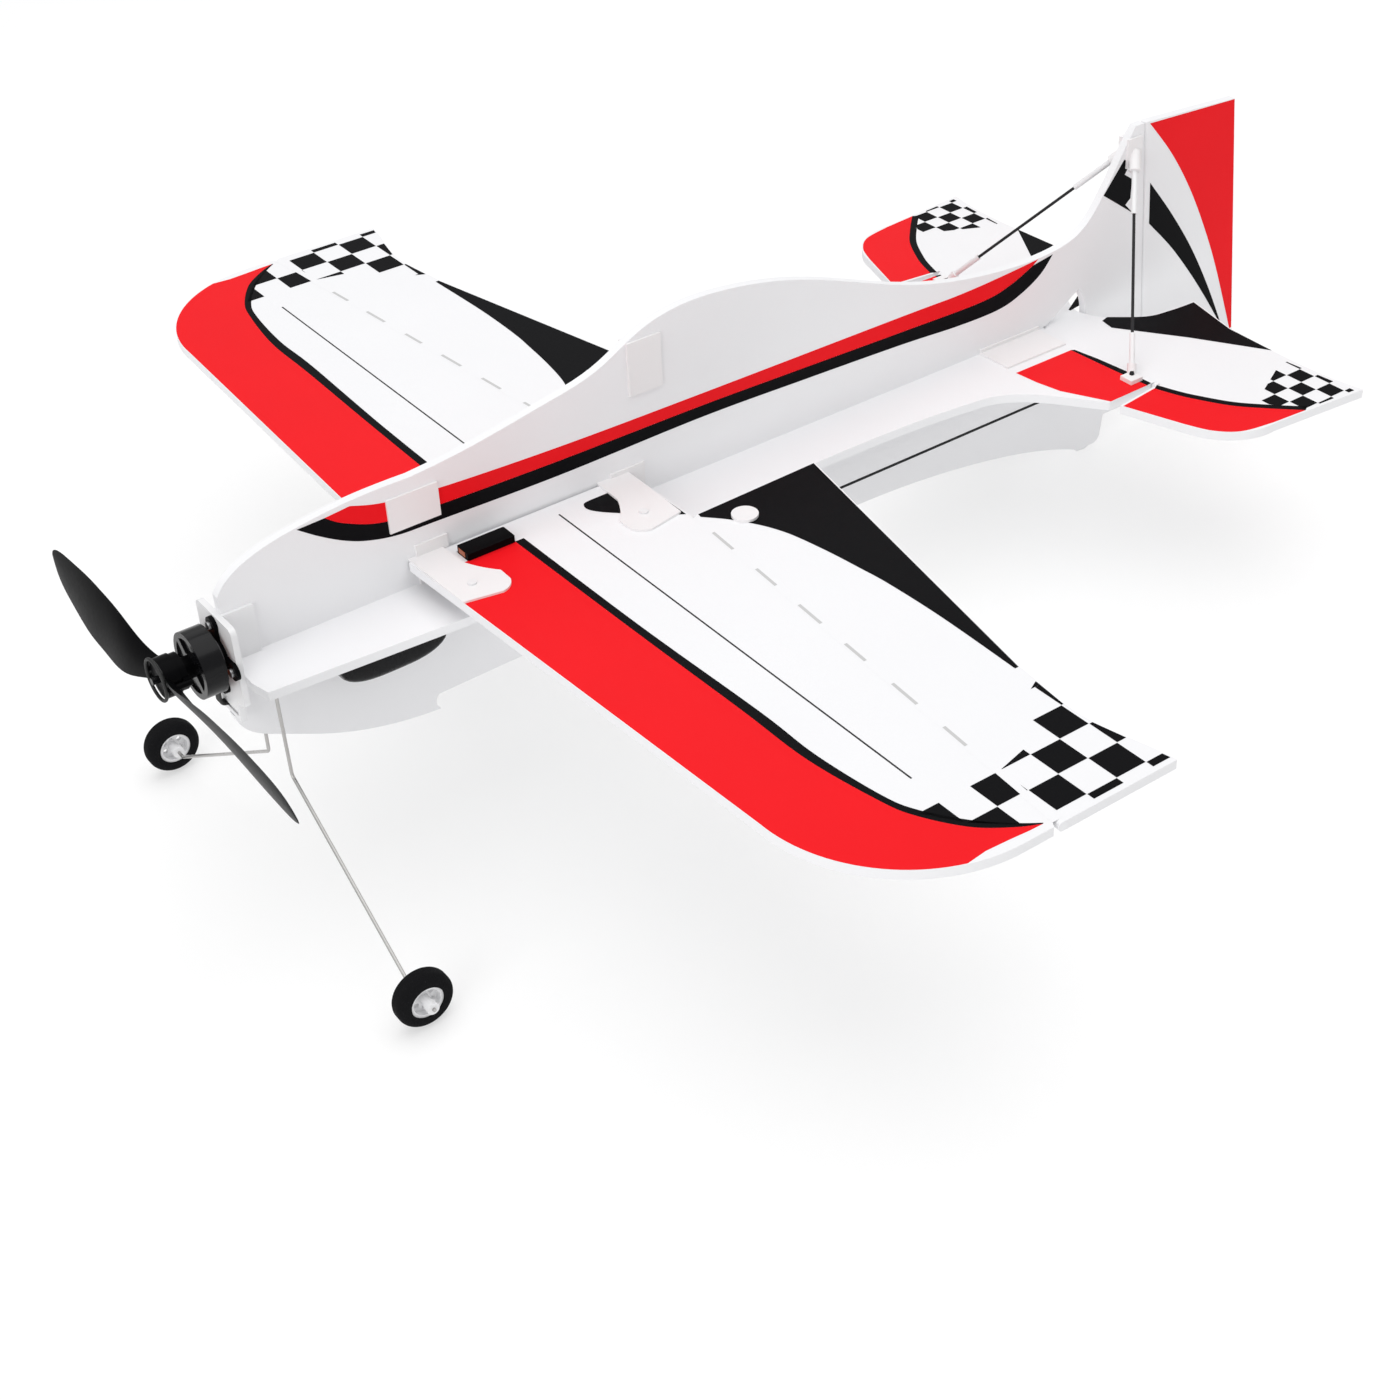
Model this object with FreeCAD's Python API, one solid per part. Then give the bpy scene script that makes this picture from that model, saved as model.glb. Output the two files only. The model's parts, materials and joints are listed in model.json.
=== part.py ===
"""RC foam aerobatic airplane of flat sheet foam, standing on its wheels and tail skid.

Millimetres. The pieces are drawn in the level body frame: X to the left wing tip, Y aft, Z up,
with Z = 0 on the wings' upper face. stand() then tips the airplane nose-up onto its three feet
and puts the origin on the floor under the middle of its bounding box.
"""
import FreeCAD, Part
import math
import os

V = FreeCAD.Vector

# ---- driving dimensions, mm -------------------------------------------------------------
HALF_SPAN = 280.0
FOAM = 4.0                      # thickness of every foam sheet
WING_TOP = 0.0
PLATE_TOP = -12.0               # upper face of the floor plate and tailplane
PLATE_LOW = PLATE_TOP - FOAM
TAIL_MID = PLATE_TOP - FOAM / 2
SIDE = FOAM / 2                 # the upright profile's side faces are at x = +-SIDE
TAB = 1.0                       # thickness of the clear plastic plates
WING_ROOT = SIDE + TAB + 0.2
SEAM_Y = -114.0                 # where the nose section joins the fuselage
NOSE_Y = -200.0                 # front end of the foam above and below the floor plate
GAP = 0.7                       # running gap along every hinge line

AILERON_AXIS = (V(47, -10.8, -FOAM / 2), V(HALF_SPAN, -30.0, -FOAM / 2))
ELEVATOR_AXIS = (V(-74, 224.5, TAIL_MID), V(74, 224.5, TAIL_MID))
RUDDER_AXIS = (V(0, 293.5, -74), V(0, 281.0, 73))
ELEVATOR_TRAVEL = 32.0          # degrees cleared in the fuselage for the elevator bridge
HINGE_EDGE = ELEVATOR_AXIS[0].y - FOAM / 2 - GAP    # rear edge of the fixed tailplane

MOTOR_Z = -8.8
FIREWALL_Y = -202.5             # front face of the firewall
BELL_FRONT = -215.0
BELL_REAR = -206.0
BELL_RADIUS = 13.8
PROP_Y = -225.0
PROP_RADIUS = 106.0
PROP_TURN = 2.2                 # degrees the parked blades lean, right tip up
LEAD_RADIUS = 0.65
LEAD_Z = -33.8                  # where the motor leads pass back through the firewall

WHEEL = V(104.0, -188.5, -119.0)
RIGHT_SWEEP = V(-1.2, -6.5, -0.61)  # how the right wheel sits off the left one's mirror image
TYRE_RADIUS = 12.3
TYRE_WIDTH = 9.0
HUB_RADIUS = 7.2
WIRE = 0.75                     # radius of the gear wire, which is the axle as well
AXLE_GAP = 0.06
SKID = V(0, 255.0, -89.0)       # lowest point of the tail skid

BRACE_TOP = V(SIDE, 273.5, 61.0)
BRACE_FOOT = V(64.0, 217.5, PLATE_TOP)
BRACE_RADIUS = 0.7
SLEEVE_RADIUS = 1.3

SERVO_SIZE = (9.0, 22.0, 20.0)  # width, length, height of the case
ARM_LENGTH = 10.0
ROD_RADIUS = 0.6

PARTS = {}


# ---- geometry helpers -------------------------------------------------------------------
def box(x0, x1, y0, y1, z0, z1):
    return Part.makeBox(x1 - x0, y1 - y0, z1 - z0, V(x0, y0, z0))


def rod(start, end, radius):
    return Part.makeCylinder(radius, start.distanceToPoint(end), start, end - start)


def tube(start, end, outer, inner):
    return rod(start, end, outer).cut(rod(start, end, inner))


def outline(steps, lift):
    """A closed face. steps: (u, v) is a straight run to that point, ("arc", mid, end) an arc and
    ("curve", points...) a smooth curve on from the point before. lift turns (u, v) into a vector."""
    edges, here = [], lift(*steps[0])
    first = here
    for step in steps[1:] + [steps[0]]:
        if step[0] == "arc":
            mid, end = lift(*step[1]), lift(*step[2])
            edges.append(Part.Arc(here, mid, end).toShape())
        elif step[0] == "curve":
            points = [here] + [lift(*p) for p in step[1:]]
            spline = Part.BSplineCurve()
            spline.interpolate(points)
            edges.append(spline.toShape())
            end = points[-1]
        else:
            end = lift(*step)
            if here.distanceToPoint(end) > 1e-6:
                edges.append(Part.LineSegment(here, end).toShape())
        here = end
    if here.distanceToPoint(first) > 1e-6:
        edges.append(Part.LineSegment(here, first).toShape())
    return Part.Face(Part.Wire(edges))


def sheet(steps, low, high):
    """A flat sheet between z = low and z = high, from an (x, y) outline."""
    return outline(steps, lambda x, y: V(x, y, low)).extrude(V(0, 0, high - low))


def upright(steps, x0=-SIDE, x1=SIDE):
    """An upright sheet between x = x0 and x = x1, from a (y, z) outline."""
    return outline(steps, lambda y, z: V(x0, y, z)).extrude(V(x1 - x0, 0, 0))


def mirrored(shape):
    return shape.mirror(V(0, 0, 0), V(1, 0, 0))


def along(axis, distance):
    """A point on a hinge axis at this distance from its first end."""
    start, end = axis
    return start + (end - start).normalize() * distance


def bent(points, radius, bends):
    """A round bar along straight runs joined by tangent arcs; bends are the arcs' radii."""
    edges, start = [], points[0]
    for before, knee, after, bend in zip(points, points[1:], points[2:], bends):
        back, on = (before - knee).normalize(), (after - knee).normalize()
        half = back.getAngle(on) / 2
        entry, leave = knee + back * (bend / math.tan(half)), knee + on * (bend / math.tan(half))
        centre = knee + (back + on).normalize() * (bend / math.sin(half))
        middle = centre + (knee - centre).normalize() * bend
        edges += [Part.LineSegment(start, entry).toShape(), Part.Arc(entry, middle, leave).toShape()]
        start = leave
    edges.append(Part.LineSegment(start, points[-1]).toShape())
    ring = Part.Circle(points[0], points[1] - points[0], radius)
    return Part.Wire(edges).makePipeShell([Part.Wire(ring.toShape())], True, False)


def fuse(shapes):
    whole = shapes[0].fuse(shapes[1:]) if len(shapes) > 1 else shapes[0]
    return whole.removeSplitter()


def group(shapes):
    return Part.makeCompound(shapes)


def keep(name, shape):
    PARTS[name] = shape


def keep_both(name, left):
    """Left and right copies together in one node."""
    keep(name, group([left, mirrored(left)]))


def keep_pair(name, left):
    keep(name + "_left", left)
    keep(name + "_right", mirrored(left))


# ---- foam -------------------------------------------------------------------------------
def aileron_line(x):
    a, b = AILERON_AXIS
    return a.y + (b.y - a.y) * (x - a.x) / (b.x - a.x)


def wing():
    """Left wing panel: straight leading edge, quarter-round tip, cut off in front of the aileron."""
    radius = 62.0
    cx, cy = HALF_SPAN - radius, -47.5
    rear = SIDE + GAP            # from the hinge axis to the fixed edge
    leg = radius * math.sqrt(0.5)
    steps = [(WING_ROOT, -120.0), (cx, cy - radius),
             ("arc", (cx + leg, cy - leg), (HALF_SPAN, cy)),
             (HALF_SPAN, aileron_line(HALF_SPAN) - rear - 1.5),
             (HALF_SPAN - 2.5, aileron_line(HALF_SPAN) - rear),
             (47.0, aileron_line(47.0) - rear), (WING_ROOT, -13.5)]
    panel = sheet(steps, WING_TOP - FOAM, WING_TOP)
    width, length, _ = SERVO_SIZE
    servo_slot = box(AILERON_SERVO.x - width / 2 - 0.2, AILERON_SERVO.x + width / 2 + 0.2,
                     AILERON_SERVO.y - length / 2 - 0.2, AILERON_SERVO.y + length / 2 + 0.2, -20, 5)
    return panel.cut(servo_slot)


def aileron():
    """Left aileron: wide at the root, with a rounded front edge on the hinge axis."""
    a, b = AILERON_AXIS
    steps = [(a.x, a.y), (b.x, b.y), (HALF_SPAN, 23.0),
             ("curve", (258, 18.2), (246, 15.7), (233, 15.3), (219, 16.8), (206, 18.3)), (45.0, 51.0)]
    blade = sheet(steps, WING_TOP - FOAM, WING_TOP).cut(horn_stem())
    return fuse([blade, rod(a, b, FOAM / 2)])


def horn_stem():
    """The part of the aileron horn that passes through the foam."""
    return box(HORN_X - HORN_HALF, HORN_X + HORN_HALF, 0.5, 6.5, WING_TOP - FOAM, WING_TOP)


def floor_edge():
    """Right-to-left outline of the fuselage floor plate and fixed tailplane, as (x, y) steps."""
    left = [(35.0, SEAM_Y), ("curve", (31.5, 0), (30, 80), (31, 120), (34, 150)),
            ("curve", (40, 168), (54, 182), (72.5, 195.6)), (71.7, HINGE_EDGE)]
    right = [(-71.7, HINGE_EDGE), (-72.5, 195.6),
             ("curve", (-54, 182), (-40, 168), (-34, 150)),
             ("curve", (-31, 120), (-30, 80), (-31.5, 0), (-35.0, SEAM_Y))]
    return left + right


def floor_plates():
    rear = sheet(floor_edge(), PLATE_LOW, PLATE_TOP)
    nose = sheet([(-21, NOSE_Y), (21, NOSE_Y), (30, NOSE_Y + 2), (35, SEAM_Y), (-35, SEAM_Y),
                  (-30, NOSE_Y + 2)], PLATE_LOW, PLATE_TOP)
    width, length, _ = SERVO_SIZE
    for side in (-1, 1):
        x = side * AILERON_SERVO.x
        slot = box(x - width / 2 - 0.1, x + width / 2 + 0.1, AILERON_SERVO.y - length / 2 - 0.1,
                   AILERON_SERVO.y + length / 2 + 0.1, PLATE_LOW - 1, PLATE_TOP + 1)
        rear = rear.cut(slot)
    keep("floor_plate_nose", nose)
    keep("floor_plate_rear", rear)


def elevator_window():
    """The opening in the upright profile that the elevator's bridge swings in."""
    hinge = ELEVATOR_AXIS[0]
    travel = math.radians(ELEVATOR_TRAVEL)
    half, reach = FOAM / 2 + 0.9, 24.0
    across = V(0, -math.sin(travel), math.cos(travel)) * half
    top_in = V(0, hinge.y, hinge.z) + across
    top_out = top_in + V(0, math.cos(travel), math.sin(travel)) * reach
    far = math.hypot(reach, half)
    low_in, low_out = (V(0, p.y, 2 * hinge.z - p.z) for p in (top_in, top_out))
    return upright([(HINGE_EDGE, hinge.z + half), (top_in.y, top_in.z), (top_out.y, top_out.z),
                    ("arc", (hinge.y + far, hinge.z), (low_out.y, low_out.z)),
                    (low_in.y, low_in.z), (HINGE_EDGE, hinge.z - half)], -SIDE - 1, SIDE + 1)


def rudder_post(z):
    """y of the fuselage's rear edge at height z, one gap in front of the slanted rudder axis."""
    low, high = RUDDER_AXIS
    return low.y + (high.y - low.y) * (z - low.z) / (high.z - low.z) - FOAM / 2 - GAP


def profiles():
    """The upright foam sheets above and below the floor plate, in a nose and a rear section."""
    window = elevator_window()
    nose_up = upright([(NOSE_Y, PLATE_TOP), (NOSE_Y, 17),
                       ("curve", (-195.5, 22.5), (-186, 28), (-164, 33.5), (-143, 36), (SEAM_Y, 36.5)),
                       (SEAM_Y, PLATE_TOP)])
    rear_up = upright([(SEAM_Y, PLATE_TOP), (SEAM_Y, 36.5),
                       ("curve", (-90, 39), (-50, 46), (-24, 52.5), (-5, 62), (15, 67), (40, 66.5),
                        (68, 61.5), (95, 53), (125, 41.5), (156, 32), (190, 26.5), (222, 25.5),
                        (241, 30), (256, 46), (273, 73)),
                       (rudder_post(73), 73), (rudder_post(TAIL_MID), TAIL_MID),
                       (240, TAIL_MID), (HINGE_EDGE, TAIL_MID), (HINGE_EDGE, PLATE_TOP)])
    nose_low = upright([(NOSE_Y, PLATE_LOW), (SEAM_Y, PLATE_LOW), (SEAM_Y, -68),
                        ("arc", (SEAM_Y - 1.6, -72), (SEAM_Y, -75.5)),
                        ("curve", (-129, -74), (-146, -70.5), (-165, -64), (-184, -55),
                         (-198, -46.5), (-202.6, -37.2)), (NOSE_Y, -37.2)])
    rear_low = upright([(SEAM_Y, PLATE_LOW), (HINGE_EDGE, PLATE_LOW), (HINGE_EDGE, TAIL_MID), (240, TAIL_MID),
                        (rudder_post(TAIL_MID), TAIL_MID), (rudder_post(-74), -74), (266, -74),
                        (264.5, -84), ("arc", (263, -87.2), (259, -88.3)), (250, -88.3),
                        ("curve", (232, -81.5), (205, -74.5), (172, -69), (140, -65.8),
                         (100, -64.5), (40, -65), (-40, -66.5), (SEAM_Y, -68))])
    rear_up, rear_low = rear_up.cut(window), rear_low.cut(window)
    for servo in (RUDDER_SERVO, ELEVATOR_SERVO):
        _, length, height = SERVO_SIZE
        rear_low = rear_low.cut(box(-9, 9, servo.y - length / 2 - 0.1, servo.y + length / 2 + 0.1,
                                    servo.z - 4.6, servo.z + 4.6))
    crossing = gear_wire()
    keep("nose_profile_upper", nose_up)
    keep("fuselage_profile_upper", rear_up)
    keep("nose_profile_lower", nose_low.cut(crossing))
    keep("fuselage_profile_lower", rear_low)


def elevator():
    """One sheet: balance tips ahead of the hinge, a bridge through the fuselage, a rudder bay."""
    hinge = ELEVATOR_AXIS[0].y
    half = [(0, hinge), (74.3, hinge), (77.5, 197.0), (107, 206.0),
            ("curve", (119, 211.5), (127.5, 221), (131, 237)), (135.5, 288.5),
            ("curve", (118, 285.8), (98, 285), (58, 287)), (28.0, 294.5),
            ("curve", (27, 280), (24, 266), (12.5, 251), (0, 245.5))]
    left = sheet(half, PLATE_LOW, PLATE_TOP)
    bar = rod(*ELEVATOR_AXIS, FOAM / 2)
    front = box(-75.2, 75.2, hinge - 4, hinge, PLATE_LOW, PLATE_TOP)
    blade = fuse([left, mirrored(left)]).cut(front)
    return fuse([blade, bar])


def rudder():
    low, high = RUDDER_AXIS
    blade = upright([(low.y, low.z), (high.y, high.z), (338, 69), (354, -56),
                     ("arc", (354.5, -64.5), (349, -68.5))])
    return fuse([blade, rod(low, high, FOAM / 2)])


# ---- tail bracing and clear plastic -----------------------------------------------------
def brace_point(share):
    return BRACE_TOP + (BRACE_FOOT - BRACE_TOP) * share


def bracing():
    top, foot = brace_point(0.03), brace_point(0.985)
    brace = rod(top, foot, BRACE_RADIUS)
    keep_both("brace_rods", brace)
    upper = tube(brace_point(0.08), brace_point(0.28), SLEEVE_RADIUS, BRACE_RADIUS)
    lower = tube(brace_point(0.80), brace_point(0.965), SLEEVE_RADIUS, BRACE_RADIUS)
    keep("brace_sleeves", group([upper, lower, mirrored(upper), mirrored(lower)]))
    x, y = BRACE_FOOT.x, BRACE_FOOT.y
    pad = box(x - 3.5, x + 3.5, y - 3.8, y + 3.2, PLATE_TOP, PLATE_TOP + 2.0)
    post = rod(brace_point(0.965) + V(0, 0, -1.6), brace_point(0.93), 2.1)
    foot_clip = fuse([pad, post]).cut(upright([(180, -60), (260, -60), (260, PLATE_TOP),
                                               (180, PLATE_TOP)], 40, 90))
    foot_clip = foot_clip.cut(rod(brace_point(0.7), brace_point(1.0), SLEEVE_RADIUS))
    keep_both("brace_feet", foot_clip)
    clip = box(SIDE, SIDE + 1.2, 268.0, 277.0, 54.0, 68.0)
    ear = rod(BRACE_TOP, brace_point(0.09), 2.6).cut(box(-5, SIDE, 250, 290, 40, 80))
    clip = fuse([clip, ear]).cut(rod(BRACE_TOP, brace_point(0.2), BRACE_RADIUS))
    clip = clip.cut(rod(brace_point(0.08), brace_point(0.28), SLEEVE_RADIUS))
    keep_both("fin_clips", clip)


def tongue(edge, inward):
    """A plate on the wing: straight along the panel's edge, waisted near the root, round outboard."""
    steps = [(SIDE, 0), (42.0, 1.2), (45.2, 17.5), ("arc", (43.4, 21.6), (39.5, 24.2)),
             (32.0, 24.4), ("curve", (25.5, 19.6), (18.0, 15.9)), (SIDE, 15.2)]
    placed_steps = []
    for step in steps:
        if step[0] in ("arc", "curve"):
            placed_steps.append((step[0], *[(x, edge + inward * y) for x, y in step[1:]]))
        else:
            placed_steps.append((step[0], edge + inward * step[1]))
    return sheet(placed_steps, WING_TOP, WING_TOP + TAB)


def wing_brackets():
    """L-shaped plates: a tab glued to the fuselage side and a tongue riveted on the wing."""
    front_tab = box(SIDE, SIDE + TAB, -116, -101.5, PLATE_TOP, 6)
    rear_tab = box(SIDE, SIDE + TAB, -22.8, -6, PLATE_TOP, 2.8)
    for name, tab, plate in (("front", front_tab, tongue(-119.5, 1)),
                             ("rear", rear_tab, tongue(-14.2, -1))):
        bracket = fuse([tab, plate])
        holes = [rod(p + V(0, 0, -1), p + V(0, 0, 3), RIVET_SHAFT) for p in RIVETS[name]]
        keep_both("wing_brackets_" + name, bracket.cut(group(holes)))


RIVETS = {"front": [V(33, -108.8, 0)], "rear": [V(33, -27.4, 0)]}
RIVET_SHAFT = 0.8


def rivets():
    pins = []
    for points in RIVETS.values():
        for p in points:
            low, high = V(p.x, p.y, WING_TOP - FOAM + 0.8), V(p.x, p.y, WING_TOP + TAB)
            head = rod(high, high + V(0, 0, 0.8), 1.9)
            pin = fuse([rod(low, high, RIVET_SHAFT), head])
            pins += [pin, mirrored(pin)]
    keep("bracket_rivets", group(pins))
    return pins


def joiner_plates():
    """Clear plates glued over the nose seam, on the canopy and beside the fin root."""
    places = {"nose_joiners": (-126, -103, 15.5, 30.5), "canopy_plates": (-11, 5.5, 35, 59)}
    for name, (y0, y1, z0, z1) in places.items():
        plate = box(SIDE, SIDE + TAB, y0, y1, z0, z1)
        keep_both(name, plate)
    flange = box(SIDE, 21, 182, 218, PLATE_TOP, PLATE_TOP + TAB)
    tail = fuse([flange, box(SIDE, SIDE + TAB, 182, 218, PLATE_TOP, -9.5)])
    keep_both("tail_brackets", tail)


def spars():
    """A carbon strip let into each wing's upper face."""
    left = box(11, 231, -54.6, -53.8, WING_TOP - 3.0, WING_TOP)
    keep_both("spars", left)
    return left


# ---- servos, arms, horns and control rods ------------------------------------------------
HORN_X = 60.0
HORN_HALF = 0.6                              # half the thickness of the horn blades
AILERON_SERVO = V(13.0, -90.0, 3.0)          # middle of the case's outer end
SPEED_CONTROLLER_Y = -176.0                  # its front face
RUDDER_SERVO = V(10.0, 2.0, -33.0)           # its output side faces the left
ELEVATOR_SERVO = V(-10.0, 40.0, -40.0)       # its output side faces the right


def servo_case():
    """Case standing on z = 0 with its output spline on top, its length along +Y, and two ears."""
    width, length, height = SERVO_SIZE
    case = box(-width / 2, width / 2, -length / 2, length / 2, 0, height)
    case = case.makeFillet(0.8, [e for e in case.Edges if abs(e.Length - height) < 1e-6])
    ears = [box(-width / 2 + 0.6, width / 2 - 0.6, side * length / 2 - 4, side * length / 2 + 4,
                13.6, 15.0) for side in (-1, 1)]
    collar = rod(V(0, -length / 2 + 5, height), V(0, -length / 2 + 5, height + 1.2), 3.2)
    spline = rod(V(0, -length / 2 + 5, height), V(0, -length / 2 + 5, height + 2.6), 1.4)
    return fuse([case, *ears, collar, spline])


def servo_arm():
    """Arm about the Z axis at the origin, pointing along +X, 1.4 thick."""
    hub = rod(V(0, 0, 0), V(0, 0, 1.4), 2.4)
    tip = rod(V(ARM_LENGTH, 0, 0), V(ARM_LENGTH, 0, 1.4), 1.5)
    bar = box(0, ARM_LENGTH, -1.3, 1.3, 0, 1.4)
    pin_hole = rod(V(ARM_LENGTH, 0, -1), V(ARM_LENGTH, 0, 3), ROD_RADIUS + 0.05)
    return fuse([hub, bar, tip]).cut(pin_hole).cut(rod(V(0, 0, -1), V(0, 0, 3), 1.45))


def placed(shape, origin, x_axis, z_axis):
    """Put a shape drawn about its own X and Z axes at origin, along the given directions."""
    y_axis = z_axis.cross(x_axis)
    matrix = FreeCAD.Matrix(x_axis.x, y_axis.x, z_axis.x, origin.x,
                            x_axis.y, y_axis.y, z_axis.y, origin.y,
                            x_axis.z, y_axis.z, z_axis.z, origin.z, 0, 0, 0, 1)
    return shape.transformed(matrix, True)


def linkage_pins():
    """Where each servo arm turns, and the two ends of its control rod."""
    height, length = SERVO_SIZE[2], SERVO_SIZE[1]
    aileron_pivot = AILERON_SERVO + V(0, -length / 2 + 5, -height - 1.3)
    rudder_pivot = RUDDER_SERVO + V(1.3, -length / 2 + 5, 0)
    elevator_pivot = ELEVATOR_SERVO + V(-1.3, -length / 2 + 5, 0)
    return {
        "aileron": (aileron_pivot, aileron_pivot + V(ARM_LENGTH, 0, 0), V(HORN_X, -11.5, -15.0)),
        "rudder": (rudder_pivot, rudder_pivot + V(0, 0, -ARM_LENGTH), V(12.5, 289.0, -42.0)),
        "elevator": (elevator_pivot, elevator_pivot + V(0, 0, ARM_LENGTH), V(-12.5, 223.0, -30.0)),
    }


def control_rod(start, end, pin_axis, pin_drop):
    """Thin rod with a pin down into the servo arm at its front end."""
    pin = rod(start, start + pin_axis * pin_drop, ROD_RADIUS)
    return fuse([rod(start, end, ROD_RADIUS), pin, Part.makeSphere(ROD_RADIUS, start)])


def controls():
    down, left, right = V(0, 0, -1), V(1, 0, 0), V(-1, 0, 0)
    pins = linkage_pins()

    pivot, tip, horn = pins["aileron"]
    case = placed(servo_case(), AILERON_SERVO, V(-1, 0, 0), down)
    arm = placed(servo_arm(), pivot, V(1, 0, 0), down)
    rod_end = horn + (tip - horn).normalize() * 2.6
    start = tip + down * 2.2
    link = control_rod(start, V(rod_end.x, rod_end.y, horn.z - 1.0), V(0, 0, 1), 2.2)
    keep_both("aileron_servos", case)
    keep_pair("arm_aileron", arm)
    keep_pair("rod_aileron", link)
    foam_low = WING_TOP - FOAM
    discs = [rod(V(HORN_X, 3.5, z), V(HORN_X, 3.5, z + 1.2), 5.6) for z in (foam_low - 1.2, WING_TOP)]
    blade = upright([(8.5, foam_low - 1), (-2.5, foam_low - 1), (horn.y - 2.3, horn.z + 1.2),
                     ("arc", (horn.y - 1.9, horn.z - 1.9), (horn.y + 1.2, horn.z - 2.3))],
                    HORN_X - HORN_HALF, HORN_X + HORN_HALF)
    horn_shape = fuse([*discs, horn_stem(), blade])
    keep_pair("horn_aileron", horn_shape.cut(rod(horn - V(2, 0, 0), horn + V(2, 0, 0), 0.7)))

    cases = []
    for name, servo, out in (("rudder", RUDDER_SERVO, left), ("elevator", ELEVATOR_SERVO, right)):
        pivot, tip, horn = pins[name]
        base = servo - out * SERVO_SIZE[2]
        case = placed(servo_case(), base, V(0, 0, -out.x), out)
        arm = placed(servo_arm(), pivot, (tip - pivot).normalize(), out)
        cases.append(case)
        keep("arm_" + name, arm)
        start = tip + out * 2.2
        end = V(start.x, horn.y - 3.0, horn.z)
        keep("rod_" + name, control_rod(start, end, out * -1, 2.2))
    keep("tail_servos", group(cases))

    _, _, horn = pins["rudder"]
    plate = sheet([(SIDE, 294.5), (horn.x - 1.5, horn.y - 2.0),
                   ("arc", (horn.x + 1.6, horn.y - 1.6), (horn.x + 2.0, horn.y + 1.5)), (SIDE, 303.5)],
                  horn.z - 0.6, horn.z + 0.6).cut(rod(horn - V(0, 0, 1), horn + V(0, 0, 1), 0.7))
    base = box(SIDE, SIDE + 1, 293, 304, horn.z - 5, horn.z + 5)
    plate = plate.cut(rod(V(0, *RUDDER_AXIS[0][1:]), V(0, *RUDDER_AXIS[1][1:]), FOAM / 2 + 0.2))
    keep("horn_rudder", fuse([plate, base]))
    _, _, horn = pins["elevator"]
    blade = upright([(226.6, PLATE_LOW), (221.5, horn.z - 3), (225.5, horn.z - 3), (243, PLATE_LOW)],
                    horn.x - 2.2, horn.x - 1.0)
    base = box(horn.x - 6.5, horn.x + 3.0, 227, 243, PLATE_LOW - 1, PLATE_LOW)
    keep("horn_elevator", fuse([blade, base]))


# ---- motor and propeller ----------------------------------------------------------------
def radial(count, make, centre):
    """count copies of a shape about the motor axis through centre."""
    copies = []
    for k in range(count):
        piece = make.copy()
        piece.rotate(centre, V(0, 1, 0), 360.0 * k / count)
        copies.append(piece)
    return copies


def on_shaft(y, x=0.0, z=0.0):
    """A point near the motor shaft, given from the shaft's line."""
    return V(x, y, MOTOR_Z + z)


def firewall_and_mount():
    wall = box(-15, 15, FIREWALL_Y, NOSE_Y, -27, 9.5)
    wall = wall.makeFillet(3, [e for e in wall.Edges if abs(e.Length - (NOSE_Y - FIREWALL_Y)) < 1e-6])
    chin = box(-8.5, 8.5, FIREWALL_Y, NOSE_Y, LEAD_Z - 3, -27)
    slot = box(-6.5, 6.5, FIREWALL_Y - 1, NOSE_Y + 1, LEAD_Z - 0.9, LEAD_Z + 0.9)
    cheek = box(SIDE, SIDE + 1.5, NOSE_Y, -187, PLATE_TOP, 9.5)
    firewall = fuse([wall, chin, cheek, mirrored(cheek)]).cut(slot)
    screw_hole = rod(on_shaft(-210, 0, 14), on_shaft(-198, 0, 14), 0.9)
    holes = group(radial(4, screw_hole))
    keep("firewall", firewall.cut(holes))

    front = FIREWALL_Y - 1.8
    lobe = fuse([box(-3.2, 3.2, front, FIREWALL_Y, MOTOR_Z, MOTOR_Z + 14),
                 rod(on_shaft(front, 0, 14), on_shaft(FIREWALL_Y, 0, 14), 3.6)])
    plate = fuse([*radial(4, lobe), rod(on_shaft(front), on_shaft(FIREWALL_Y), 8.5)])
    keep("motor_mount", plate.cut(holes))
    screw = fuse([rod(on_shaft(front - 1.1, 0, 14), on_shaft(front, 0, 14), 1.8),
                  rod(on_shaft(front, 0, 14), on_shaft(FIREWALL_Y + 2.4, 0, 14), 0.9)])
    keep("motor_mount_screws", group(radial(4, screw)))


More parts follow.
